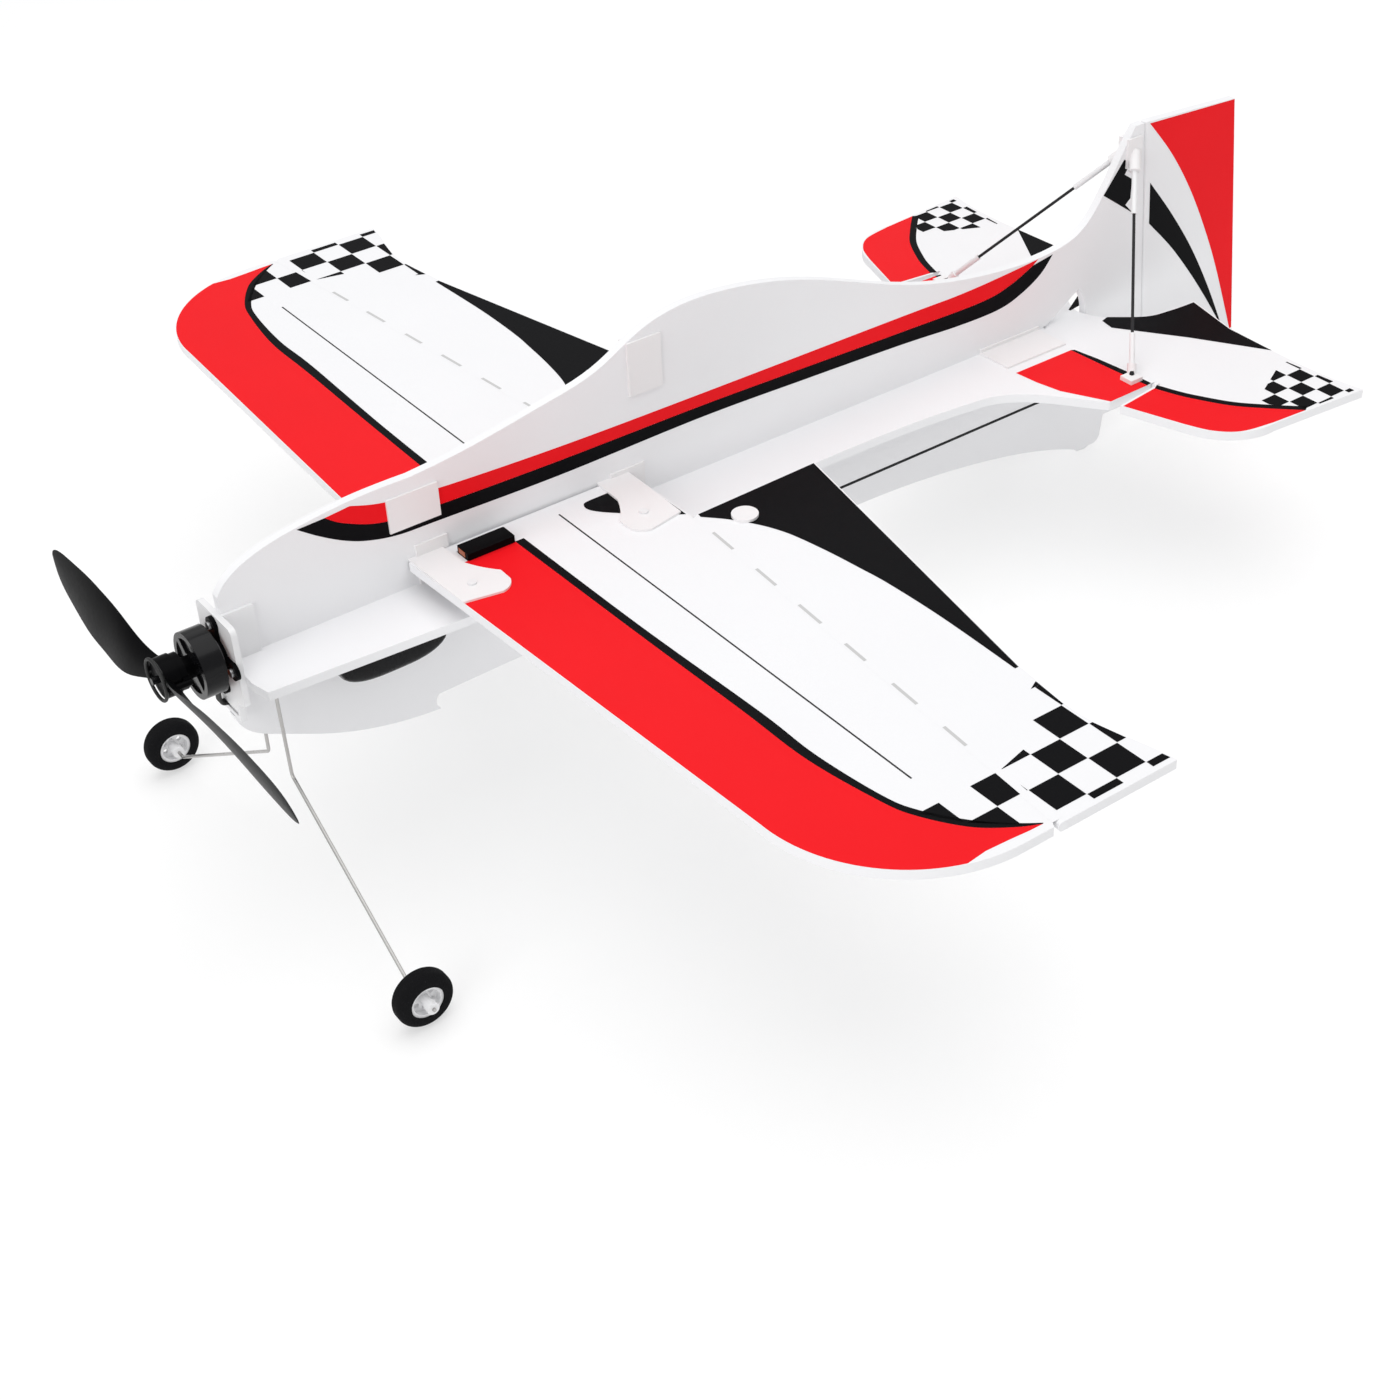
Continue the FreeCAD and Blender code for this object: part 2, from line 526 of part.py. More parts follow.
def motor():
    mount_front = FIREWALL_Y - 1.8
    base = tube(on_shaft(mount_front - 1.4), on_shaft(mount_front), 9.5, 1.6)
    core = tube(on_shaft(-212.6), on_shaft(mount_front), 3.8, 1.6)
    tooth = box(-1.1, 1.1, -212.2, BELL_REAR - 0.2, MOTOR_Z + 3.5, MOTOR_Z + 11.2)
    shoe = box(-3.1, 3.1, -212.2, BELL_REAR - 0.2, MOTOR_Z + 10.2, MOTOR_Z + 11.2)
    stator = fuse([core, base, *radial(9, fuse([tooth, shoe]))])
    keep("motor_stator", stator.cut(group(motor_leads())))
    coil = box(-1.85, 1.85, -213.0, BELL_REAR + 0.2, MOTOR_Z + 5.8, MOTOR_Z + 10.2).cut(tooth)
    keep("motor_windings", group(radial(9, coil)))

    inside = rod(on_shaft(BELL_FRONT + 1.2), on_shaft(BELL_REAR + 1), BELL_RADIUS - 1.8)
    cup = rod(on_shaft(BELL_FRONT), on_shaft(BELL_REAR), BELL_RADIUS).cut(inside)
    ring = tube(on_shaft(BELL_FRONT - 1), on_shaft(BELL_FRONT + 1), 11.4, 5.2)
    spoke = box(-1.6, 1.6, BELL_FRONT - 2, BELL_FRONT + 2, MOTOR_Z, MOTOR_Z + 13)
    spoke.rotate(on_shaft(0), V(0, 1, 0), 45)
    cup = cup.cut(ring.cut(group(radial(4, spoke))))
    keep("motor_bell", fuse([cup, rod(on_shaft(-231), on_shaft(mount_front - 0.3), 1.5)]))

    collar = rod(on_shaft(-219), on_shaft(BELL_FRONT), 4.6)
    flange = rod(on_shaft(-222), on_shaft(-219), 7.6)
    post = rod(on_shaft(-228.4, 9.4), on_shaft(-219, 9.4), 1.3)
    arm = box(0, 9.4, -221.6, -219, MOTOR_Z - 1.6, MOTOR_Z + 1.6)
    adapter = fuse([collar, flange, *radial(2, fuse([arm, post]))])
    keep("propeller_adapter", adapter.cut(rod(on_shaft(-231), on_shaft(-214), 1.5)))
    keep("propeller_ring", Part.makeTorus(8.5, 0.7, on_shaft(-229.1), V(0, 1, 0)))


def radial(count, piece):
    """count copies of a shape, evenly turned about the motor shaft."""
    copies = []
    for k in range(count):
        turned = piece.copy()
        turned.rotate(on_shaft(0), V(0, 1, 0), 360.0 * k / count)
        copies.append(turned)
    return copies


def motor_leads():
    """Three leads from the motor's base down, through the firewall's slot and back."""
    front = FIREWALL_Y - 2.5
    routes = [[V(x, front, MOTOR_Z - 8.5), V(x, front, LEAD_Z), V(x, -189.5, LEAD_Z - 0.5),
               V(x - 0.4, SPEED_CONTROLLER_Y, LEAD_Z - 1.6)] for x in (-5.8, -4.35, -2.9)]
    return [bent(route, LEAD_RADIUS, [2.2, 30.0]) for route in routes]


def blade_section(radius, chord, lead, pitch, thick):
    """A lens-shaped blade section, its middle moved by lead towards the leading edge."""
    turn = math.radians(pitch)
    ahead = V(0, -math.sin(turn), math.cos(turn))
    face = V(0, -math.cos(turn), -math.sin(turn)) * (thick / 2)
    middle = V(radius, PROP_Y, MOTOR_Z) + ahead * lead
    front, back = middle + ahead * (chord / 2), middle - ahead * (chord / 2)
    upper = Part.Arc(front, middle + face, back).toShape()
    lower = Part.Arc(back, middle - face * 0.4, front).toShape()
    return Part.Wire([upper, lower])


def propeller():
    """Two blades on a round hub; stations are radius, chord, lead, pitch angle and thickness."""
    stations = [(3.5, 8.5, 0, 36, 4.2), (13, 11, 2.5, 34, 3.4), (26, 16, 5.4, 29, 2.7),
                (42, 20.5, 6.2, 21.5, 2.3), (60, 22.5, 6.3, 17, 1.9), (78, 21, 5.8, 13.5, 1.6),
                (92, 17, 5.0, 11, 1.2), (101, 11.5, 3.8, 9.5, 0.9), (PROP_RADIUS, 3.0, 2.2, 9, 0.5)]
    blade = Part.makeLoft([blade_section(*s) for s in stations], True, False)
    hub = rod(on_shaft(-228), on_shaft(-222), 8.2)
    prop = fuse([hub, *radial(2, blade)])
    prop.rotate(on_shaft(0), V(0, 1, 0), PROP_TURN)
    prop = prop.cut(rod(on_shaft(-235), on_shaft(-200), 1.5))
    keep("propeller", prop.cut(PARTS["propeller_adapter"]).cut(PARTS["propeller_ring"]))


# ---- landing gear -----------------------------------------------------------------------
def gear_path():
    """Wire route from the left axle end over the crossing in the nose to the right axle end."""
    axle = [V(WHEEL.x + 9.5, WHEEL.y, WHEEL.z), V(WHEEL.x - 12.0, WHEEL.y, WHEEL.z)]
    leg = [V(10.0, -187.0, -69.5), V(8.5, -187.0, -21.0)]
    right_leg = [V(-p.x, p.y, p.z) for p in reversed(leg)]
    return axle + leg + right_leg + [V(-p.x, p.y, p.z) + RIGHT_SWEEP for p in reversed(axle)]


def gear_wire(radius=WIRE):
    return bent(gear_path(), radius, [2.5, 3.0, 2.2, 2.2, 3.0, 2.5])


def landing_gear():
    wire = gear_wire()
    keep("landing_gear_wire", wire)
    clamp = box(SIDE, 12, -191.5, -182.5, -27.0, PLATE_LOW).cut(gear_wire(WIRE))
    keep_both("gear_clamps", clamp)

    x0, x1 = WHEEL.x - TYRE_WIDTH / 2, WHEEL.x + TYRE_WIDTH / 2
    centre = lambda x: V(x, WHEEL.y, WHEEL.z)
    rim = tube(centre(x0 + 0.8), centre(x1 - 0.8), HUB_RADIUS, HUB_RADIUS - 1.3)
    web = rod(centre(WHEEL.x - 0.8), centre(WHEEL.x + 0.8), HUB_RADIUS)
    window = rod(centre(x0 - 1) + V(0, 0, 4.1), centre(x1 + 1) + V(0, 0, 4.1), 1.2)
    for k in range(6):
        one = window.copy()
        one.rotate(WHEEL, V(1, 0, 0), 60.0 * k)
        web = web.cut(one)
    boss = rod(centre(x0 - 0.4), centre(x1 + 0.4), 2.1)
    hub = fuse([rim, web, boss]).cut(rod(centre(x0 - 2), centre(x1 + 2), WIRE + AXLE_GAP))
    tyre = tube(centre(x0), centre(x1), TYRE_RADIUS, HUB_RADIUS)
    shoulders = [e for e in tyre.Edges if abs(e.Length - 2 * math.pi * TYRE_RADIUS) < 1e-3]
    for name, shape in (("wheel_hub", hub), ("tyre", tyre.makeFillet(3.2, shoulders))):
        keep(name + "_left", shape)
        keep(name + "_right", mirrored(shape).translated(RIGHT_SWEEP))
    outer = tube(centre(x1 + 0.8), centre(x1 + 4.0), 2.6, WIRE)
    inner = tube(centre(x0 - 3.4), centre(x0 - 0.8), 2.6, WIRE)
    right = [mirrored(shape).translated(RIGHT_SWEEP) for shape in (outer, inner)]
    keep("wheel_retainers", group([outer, inner, *right]))

    skid = upright([(250, -88.3), (259, -88.3), ("arc", (256.5, SKID.z - 0.7), (253, SKID.z - 0.7)),
                    (250.5, SKID.z - 0.7)], -1.2, 1.2)
    keep("tail_skid", skid)


# ---- electronics ------------------------------------------------------------------------
def rounded_block(x0, x1, y0, y1, z0, z1, radius):
    """A box with its edges along Y rounded."""
    block = box(x0, x1, y0, y1, z0, z1)
    return block.makeFillet(radius, [e for e in block.Edges if abs(e.Length - (y1 - y0)) < 1e-6])


def electronics():
    keep("battery", rounded_block(3.0, 29.0, -167, -119, -29.5, PLATE_LOW, 2.5))
    keep("receiver", rounded_block(-29, -5, -157, -130, PLATE_LOW - 9.0, PLATE_LOW, 1.0))
    keep("speed_controller", rounded_block(-7.8, -SIDE, SPEED_CONTROLLER_Y, -154, -42, -29, 1.0))


# ---- placing on the floor and export ----------------------------------------------------
def stance():
    """Nose-up angle, radians, at which both tyres and the tail skid touch the floor."""
    reach = SKID.y - WHEEL.y
    rise = (SKID.z - 0.7) - WHEEL.z
    return math.atan2(rise, reach) + math.asin(TYRE_RADIUS / math.hypot(reach, rise))


def stand(shapes):
    """The rigid move, as a matrix, that stands the airplane on the floor about its own middle."""
    move = FreeCAD.Matrix()
    move.rotateX(-stance())
    low, high = V(1e9, 1e9, 1e9), V(-1e9, -1e9, -1e9)
    for shape in shapes:
        size = shape.transformed(move, True).BoundBox
        low = V(*(min(a, b) for a, b in zip(low, (size.XMin, size.YMin, size.ZMin))))
        high = V(*(max(a, b) for a, b in zip(high, (size.XMax, size.YMax, size.ZMax))))
    move.move(V(-(low.x + high.x) / 2, -(low.y + high.y) / 2, -low.z))
    return move


def build():
    panel, spar, pins = wing(), spars(), rivets()
    solid_pins = group([p for p in pins if p.BoundBox.XMin > 0])
    keep_pair("wing", panel.cut(spar).cut(solid_pins))
    keep_pair("aileron", aileron())
    floor_plates()
    profiles()
    keep("elevator", elevator())
    keep("rudder", rudder())
    bracing()
    wing_brackets()
    joiner_plates()
    controls()
    firewall_and_mount()
    motor()
    propeller()
    landing_gear()
    electronics()
    for k, lead in enumerate(motor_leads(), 1):
        keep("motor_lead_%d" % k, lead)
    return stand(list(PARTS.values()))


def main():
    os.makedirs("parts", exist_ok=True)
    move = build()
    for name, shape in PARTS.items():
        standing = shape.transformed(move, True)
        standing.exportStep("parts/%s.step" % name)
    print(len(PARTS), "nodes", "stance %.2f degrees" % math.degrees(stance()))


main()
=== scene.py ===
"""Looks of the flat-foam RC aerobatic airplane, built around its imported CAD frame."""

import json
import math

import bpy
from mathutils import Matrix, Vector


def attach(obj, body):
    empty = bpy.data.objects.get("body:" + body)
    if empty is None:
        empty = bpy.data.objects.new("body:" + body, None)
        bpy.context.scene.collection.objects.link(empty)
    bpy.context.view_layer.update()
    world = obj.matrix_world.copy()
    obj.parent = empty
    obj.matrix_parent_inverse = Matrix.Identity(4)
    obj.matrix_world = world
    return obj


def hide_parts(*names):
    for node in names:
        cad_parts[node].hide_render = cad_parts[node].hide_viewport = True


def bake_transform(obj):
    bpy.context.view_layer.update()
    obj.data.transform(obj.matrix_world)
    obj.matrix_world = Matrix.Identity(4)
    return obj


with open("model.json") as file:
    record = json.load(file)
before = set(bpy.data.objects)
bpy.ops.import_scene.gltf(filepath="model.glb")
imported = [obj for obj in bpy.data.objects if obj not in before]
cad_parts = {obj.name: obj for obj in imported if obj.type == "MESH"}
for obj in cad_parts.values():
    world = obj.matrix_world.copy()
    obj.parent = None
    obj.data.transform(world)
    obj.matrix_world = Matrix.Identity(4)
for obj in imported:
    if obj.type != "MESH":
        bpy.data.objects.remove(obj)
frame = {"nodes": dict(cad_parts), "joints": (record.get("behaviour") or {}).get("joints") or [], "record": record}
NODES, RECORD = frame["nodes"], frame["record"]
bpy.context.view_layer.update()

# ---- the level frame --------------------------------------------------------------------
# Prints and trim are drawn in millimetres in the airplane's level frame: X to the left wing
# tip, Y aft, Z up, with Z = 0 on the wings' upper face. at() stands a point on its wheels.
MM = 0.001
WHEEL = Vector((104.0, -188.5, -119.0))  # middle of the left wheel, on its axle
SIDE = 2.0                      # half the thickness of the upright profile
TAIL_TOP = -12.0                # upper face of the tailplane
TIP_X = 280.0                   # half the wing span
AILERON_AXIS = ((47.0, -10.8), (TIP_X, -30.0))
SIDES = ((1, "left"), (-1, "right"))
ELEVATOR_Y = 224.5              # the elevator's hinge line
MOTOR_Z = -8.8                  # height of the motor's shaft
BELL_REAR = -206.0              # rear rim of the motor's bell
INK_RED, INK_BLACK, CUT_SHADE_LIFT = 0.04, 0.07, 0.05  # how far the inks, and the painted shade of the hinge cuts, stand above the foam
FILM_HEIGHT = 0.03              # the same for the skins over the hinge lines
PRINT_MARGIN = 0.3              # bare foam between a print and a hinge

joint_at = {j["name"]: Vector(j["pos_m"]) for j in frame["joints"]}
level_down = Vector(RECORD["mounts"][0]["axis"])
STANCE = math.atan2(-level_down.y, -level_down.z)
TURN = Matrix.Rotation(-STANCE, 3, "X")
ORIGIN = joint_at["wheel_left_spin"] - TURN @ WHEEL * MM


def at(x, y, z):
    return ORIGIN + TURN @ Vector((x, y, z)) * MM


# ---- materials --------------------------------------------------------------------------
ROUGHNESS_SWING = 0.07          # how far the grain moves the roughness up and down
GRAIN_DEPTH = 0.0004            # metres


def material(name, colour, roughness, shade=0.94, grain=900.0, bump=0.05, patch=25.0,
             metallic=0.0, specular=0.5, coat=0.0, glow=0.0, streak=None):
    """Principled surface: colour drifts to shade times itself in soft patches, and a fine
    grain, or streaks scaled along X, Y, Z, roughens and embosses it."""
    made = bpy.data.materials.new(name)
    made.use_nodes = True
    nodes, links = made.node_tree.nodes, made.node_tree.links
    shader = nodes["Principled BSDF"]
    shader.inputs["Metallic"].default_value = metallic
    shader.inputs["Coat Weight"].default_value = coat
    shader.inputs["Specular IOR Level"].default_value = specular
    shader.inputs["Emission Color"].default_value = (*colour, 1.0)
    shader.inputs["Emission Strength"].default_value = glow

    where = nodes.new("ShaderNodeTexCoord")
    blotch = nodes.new("ShaderNodeTexNoise")
    blotch.inputs["Scale"].default_value = patch
    blotch.inputs["Detail"].default_value = 4.0
    links.new(where.outputs["Object"], blotch.inputs["Vector"])
    tint = nodes.new("ShaderNodeMix")
    tint.data_type = "RGBA"
    tint.inputs["A"].default_value = (*[c * shade for c in colour], 1.0)
    tint.inputs["B"].default_value = (*colour, 1.0)
    links.new(blotch.outputs["Fac"], tint.inputs["Factor"])
    links.new(tint.outputs["Result"], shader.inputs["Base Color"])

    fine = nodes.new("ShaderNodeTexNoise")
    fine.inputs["Scale"].default_value = grain
    fine.inputs["Detail"].default_value = 3.0
    source = where.outputs["Object"]
    if streak:
        stretch = nodes.new("ShaderNodeMapping")
        stretch.inputs["Scale"].default_value = streak
        links.new(source, stretch.inputs["Vector"])
        source = stretch.outputs["Vector"]
    links.new(source, fine.inputs["Vector"])
    spread = nodes.new("ShaderNodeMapRange")
    spread.inputs["To Min"].default_value = max(roughness - ROUGHNESS_SWING, 0.02)
    spread.inputs["To Max"].default_value = min(roughness + ROUGHNESS_SWING, 1.0)
    links.new(fine.outputs["Fac"], spread.inputs["Value"])
    links.new(spread.outputs["Result"], shader.inputs["Roughness"])
    relief = nodes.new("ShaderNodeBump")
    relief.inputs["Strength"].default_value = bump
    relief.inputs["Distance"].default_value = GRAIN_DEPTH
    links.new(fine.outputs["Fac"], relief.inputs["Height"])
    links.new(relief.outputs["Normal"], shader.inputs["Normal"])
    return made


FOAM_WHITE = material("foam_white", (0.87, 0.87, 0.885), 0.6, 0.975, grain=1500, bump=0.10,
                      specular=0.12)
# Inks of the print, and the painted shade of the hinge cuts.
INK_AND_CUT_SHADE = {
    "red": material("ink_red", (0.88, 0.006, 0.012), 0.55, 0.93, grain=1500, bump=0.08,
                    specular=0.10),
    "black": material("ink_black", (0.004, 0.004, 0.005), 0.55, 0.75, grain=1500, bump=0.08,
                      specular=0.05),
    # Painted shade: flat grey patches stand for the shade inside the hinge cuts.
    "grey": material("painted_cut_shade", (0.60, 0.60, 0.60), 0.8, 0.9, grain=1500, bump=0.08,
                     specular=0.1),
}
LOOKS = {
    "clear_plastic": material("frosted_plastic", (0.86, 0.845, 0.85), 0.36, 0.97, 600, 0.03,
                              specular=0.3),
    "carbon": material("carbon_rod", (0.018, 0.018, 0.02), 0.45, 0.6, 500, 0.10, specular=0.25,
                       streak=(1.0, 0.06, 1.0)),
    "wire_steel": material("spring_wire", (0.50, 0.49, 0.48), 0.30, 0.85, 800, 0.08,
                           metallic=1.0, streak=(0.1, 0.6, 0.6)),
    "black_plastic": material("black_nylon", (0.003, 0.003, 0.0035), 0.34, 0.8, 700, 0.03,
                              specular=0.03),
    "white_plastic": material("white_nylon", (0.83, 0.83, 0.84), 0.38, 0.96, 500, 0.04),
    "tyre_foam": material("foam_rubber", (0.007, 0.007, 0.008), 0.92, 0.7, 1400, 0.9, 60,
                          specular=0.12),
    "motor_black": material("black_anodised", (0.006, 0.006, 0.007), 0.24, 0.8, 900, 0.04,
                            specular=0.16, coat=0.06, streak=(1.0, 0.05, 1.0)),
    "stator_steel": material("laminated_steel", (0.10, 0.10, 0.105), 0.45, 0.7, 700, 0.25,
                             metallic=1.0, streak=(0.02, 6.0, 0.02)),
    # Painted light: the copper glows a little (glow=0.12), so the windings show up inside the shaded bell.
    "copper": material("copper_wire_painted_glow", (0.85, 0.16, 0.02), 0.30, 0.8, 900, 0.05, metallic=0.2,
                       glow=0.12),
    "screw_steel": material("screw_steel", (0.40, 0.40, 0.41), 0.32, 0.85, 900, 0.05,
                            metallic=1.0),
    "ring_rubber": material("ring_rubber", (0.012, 0.012, 0.012), 0.6, 0.8, 900, 0.10),
    "battery_wrap": material("shrink_film", (0.004, 0.004, 0.005), 0.26, 0.7, 160, 0.55,
                             specular=0.15, coat=0.08),
    "board_wrap": material("clear_shrink", (0.016, 0.018, 0.020), 0.24, 0.7, 220, 0.5,
                           coat=0.5),
    "lead_black": material("silicone_lead", (0.014, 0.014, 0.014), 0.5, 0.8, 900, 0.08),
    "servo_orange": material("servo_end", (0.42, 0.10, 0.03), 0.35, 0.8, 700, 0.05),
}
slot_of = {s["node"]: s["material_slot"] for s in RECORD["subparts"]}

BEVELS = {"foam": 0.35, "clear_plastic": 0.12, "white_plastic": 0.15, "black_plastic": 0.2,
          "motor_black": 0.25}        # millimetres, by slot
ROUND_NODES = {"propeller", "landing_gear_wire", "propeller_ring"}
SHARP_ANGLE, BEVEL_ANGLE = 35, 50  # degrees


def dress_cad_nodes():
    """Every CAD node takes its material, and the sharp-edged ones a small bevel."""
    for name, node in NODES.items():
        slot = slot_of[name]
        node.data.materials.clear()
        node.data.materials.append(FOAM_WHITE if slot == "foam" else LOOKS[slot])
        node.data.shade_smooth()
        node.data.set_sharp_from_angle(angle=math.radians(SHARP_ANGLE))
        if slot in BEVELS and name not in ROUND_NODES:
            edge = node.modifiers.new("soft_edges", "BEVEL")
            edge.width = BEVELS[slot] * MM
            edge.segments = 2
            edge.limit_method = "ANGLE"
            edge.angle_limit = math.radians(BEVEL_ANGLE)
            edge.harden_normals = True


# ---- mesh helpers -----------------------------------------------------------------------
def piece(name, body, verts, faces, look, smooth=False):
    mesh = bpy.data.meshes.new(name)
    mesh.from_pydata(verts, [], faces)
    mesh.materials.append(look)
    if smooth:
        mesh.shade_smooth()
    made = bpy.data.objects.new(name, mesh)
    bpy.context.scene.collection.objects.link(made)
    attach(made, body)
    return made


def smooth_line(points, steps=10):
    """A Catmull-Rom line through the points."""
    ends = [points[0], *points, points[-1]]
    line = []
    for a, b, c, d in zip(ends, ends[1:], ends[2:], ends[3:]):
        for k in range(steps):
            t = k / steps
            weights = ((-t + 2 * t**2 - t**3) / 2, (2 - 5 * t**2 + 3 * t**3) / 2,
                       (t + 4 * t**2 - 3 * t**3) / 2, (t**3 - t**2) / 2)
            line.append(tuple(sum(w * p[i] for w, p in zip(weights, (a, b, c, d)))
                              for i in (0, 1)))
    return line + [points[-1]]


def arc_line(centre, radius, start, end, steps=24):
    """Points on an arc, angles in degrees."""
    turns = [math.radians(start + (end - start) * k / steps) for k in range(steps + 1)]
    return [(centre[0] + radius * math.cos(a), centre[1] + radius * math.sin(a)) for a in turns]


def clip(ring, a, b):
    """The part of a convex ring to the left of the line from a to b."""
    def left(p):
        return (b[0] - a[0]) * (p[1] - a[1]) - (b[1] - a[1]) * (p[0] - a[0])
    kept = []
    for p, q in zip(ring, ring[1:] + ring[:1]):
        if left(p) >= 0:
            kept.append(p)
        if left(p) * left(q) < 0:
            t = left(p) / (left(p) - left(q))
            kept.append((p[0] + (q[0] - p[0]) * t, p[1] + (q[1] - p[1]) * t))
    return kept


def flat_face(height, side=1):
    """Lays (x, y) on a horizontal face; side -1 mirrors it to the right of the airplane."""
    def lay(x, y):
        return at(side * x, y, height)
    return lay


def side_face(offset):
    """Lays (y, z) on an upright face at x = offset."""
    def lay(y, z):
        return at(offset, y, z)
    return lay


def ink(name, body, rings, lay, colour, turned):
    """Flat printed areas, or flat patches of painted shade; turned reverses the rings so that they face outwards.
    """
    verts, faces = [], []
    for ring in rings:
        points = [lay(*p) for p in (reversed(ring) if turned else ring)]
        faces.append(range(len(verts), len(verts) + len(points)))
        verts += points
    return piece(name, body, verts, faces, INK_AND_CUT_SHADE[colour])


# ---- wing print -------------------------------------------------------------------------
def hinge_y(x):
    (x0, y0), (x1, y1) = AILERON_AXIS
    return y0 + (y1 - y0) * (x - x0) / (x1 - x0)


# The pin line divides the red leading edge from the white panel.
PIN_UPPER = [(17, -75.0), (97, -74.0), (168, -71.5), (200, -71.5), (231, -68), (245, -63.5),
             (260.5, -53), (270.8, -42.5), (276.2, -35.5)]
PIN_LOWER = [(17, -79.0), (102, -77.5), (163, -76.0), (200, -75.5), (233, -70.5), (247, -66),
             (262.5, -56), (271.8, -44.7), (276.5, -36)]
LEADING = [(17, -119.0), (218, -109.2)]
TIP_CENTRE, TIP_RADIUS, TIP_ARC = (218.0, -47.5), 61.7, (-90, -20)
RED_RIM = [(275.0, -60), (275.6, -50), (276.3, -42)]
BLACK_SWEEP = [(47, -13.3), (58, -3.5), (69, 3.5), (78, 7.5), (87, 10), (103, 12.8),
               (119, 14.8), (135, 16.4), (165, 17.2), (206, 16.2)]
ROOT_PATCH = [(10, -38), (10.8, -41.9), (14.9, -43.1), (20.2, -40.2), (27.9, -32.8), (35, -25),
              (42, -17), (44, -14.2)]
PANEL_REAR_Y = -14.2            # rear edge of the wing's root, inboard of the aileron
TRAILING = [(45.5, 50.3), (206, 17.9)]
SWEEP_X = 47.2                  # where the black triangle starts on the hinge line
TIP_TRAIL = [(206, 18.0), (219, 16.5), (233, 15.0), (246, 15.4), (258, 17.9), (279.2, 22.6)]
WING_CORNER, WING_CELL = (260.4, 0.0), 13.88  # one cell's corner and the checker's pitch
WING_CELLS = [(-2, 0), (-1, -1), (0, 0), (0, -2), (-1, -3), (-1, 1), (-3, 1), (1, 1), (1, -1),
              (-1, -5), (0, -4)]
WING_SLIVERS = [[(218.8, 16.6), (216.4, 16.6), (218.8, 12.0)],
                [(246.5, -27.8), (246.5, -13.9), (243.0, -13.9)]]
CHECKER_END = TIP_X - 2.4
TRAIL_MARGIN, PIN_OVERLAP = -0.1, -2.0  # from the trailing edge and from the pin line
PANEL_EDGE, AILERON_EDGE = -2.9, 0.2  # where print stops on either side of the hinge axis
FIRST_PIN_ROW = -40             # cells wholly in front of this y run into the pin line


def cell(origin, size, i, j, gap=0.1):
    x, y = origin[0] + i * size, origin[1] + j * size
    return [(x + gap, y + gap), (x + size - gap, y + gap), (x + size - gap, y + size - gap),
            (x + gap, y + size - gap)]


def trail_at(line, x):
    """The y of a left-to-right line at x, held level beyond its ends."""
    for (x0, y0), (x1, y1) in zip(line, line[1:]):
        if x0 <= x <= x1:
            return y0 + (y1 - y0) * (x - x0) / (x1 - x0)
    return line[-1][1] if x > line[-1][0] else line[0][1]


def chord(line, ring, offset):
    """Two points of a left-to-right line, moved aft by offset, at a ring's left and right."""
    ends = min(p[0] for p in ring), max(p[0] for p in ring)
    return [(x, trail_at(line, x) + offset) for x in ends]


def wing_checkers():
    """The tip's black cells, cut along the hinge into rings for the wing and the aileron."""
    on_wing, on_aileron = [], []
    trail, pin = smooth_line(TIP_TRAIL), smooth_line(PIN_UPPER)
    cells = [cell(WING_CORNER, WING_CELL, i, j) for i, j in WING_CELLS] + WING_SLIVERS
    for square in cells:
        square = clip(square, (CHECKER_END, -100), (CHECKER_END, 100))
        front = clip(square, (TIP_X, hinge_y(TIP_X) + PANEL_EDGE), (0, hinge_y(0) + PANEL_EDGE))
        aft = clip(square, (0, hinge_y(0) + AILERON_EDGE), (TIP_X, hinge_y(TIP_X) + AILERON_EDGE))
        aft = clip(aft, *chord(trail, square, TRAIL_MARGIN)[::-1])
        if front and max(p[1] for p in front) < FIRST_PIN_ROW:
            front = clip(front, *chord(pin, square, PIN_OVERLAP))
        if len(front) > 2:
            on_wing.append(front)
        if len(aft) > 2:
            on_aileron.append(aft)
    return on_wing, on_aileron


def wing_print(side, label):
    turned = side < 0
    tip = arc_line(TIP_CENTRE, TIP_RADIUS, *TIP_ARC)
    red = LEADING + tip[1:] + RED_RIM + smooth_line(PIN_LOWER)[::-1]
    ink("print_red_" + label, "airframe", [red], flat_face(INK_RED, side), "red", turned)

    on_wing, on_aileron = wing_checkers()
    pin = smooth_line(PIN_LOWER) + smooth_line(PIN_UPPER)[::-1]
    root = smooth_line(ROOT_PATCH) + [(ROOT_PATCH[0][0], PANEL_REAR_Y)]
    sweep = smooth_line(BLACK_SWEEP)
    corner = (SWEEP_X, hinge_y(SWEEP_X) + PRINT_MARGIN)
    triangle = [p for p in [corner] + sweep[1:] + TRAILING[::-1] if p[1] > hinge_y(p[0])]
    black = flat_face(INK_BLACK, side)
    ink("print_black_" + label, "airframe", [pin] + on_wing + [root], black, "black", turned)
    ink("print_black_aileron_" + label, "aileron_" + label, on_aileron + [triangle], black,
        "black", turned)


FILM_OFFSETS = [-3.4, -2.21, -1.19, -0.6, 0.0, 0.6, 1.2]  # its rows, from the hinge line
FILM_START, FILM_END = -1.7, 0.8  # where it leaves the fixed panel and joins the surface
AILERON_FILM, TAIL_FILM = (48, 278), (3, 72)  # from the root to the tip
DASHES = ((62, 77), (94, 108), (124, 139), (155, 168), (185, 200), (216, 229))
DASH_FRONT, DASH_REAR = -2.6, -1.2


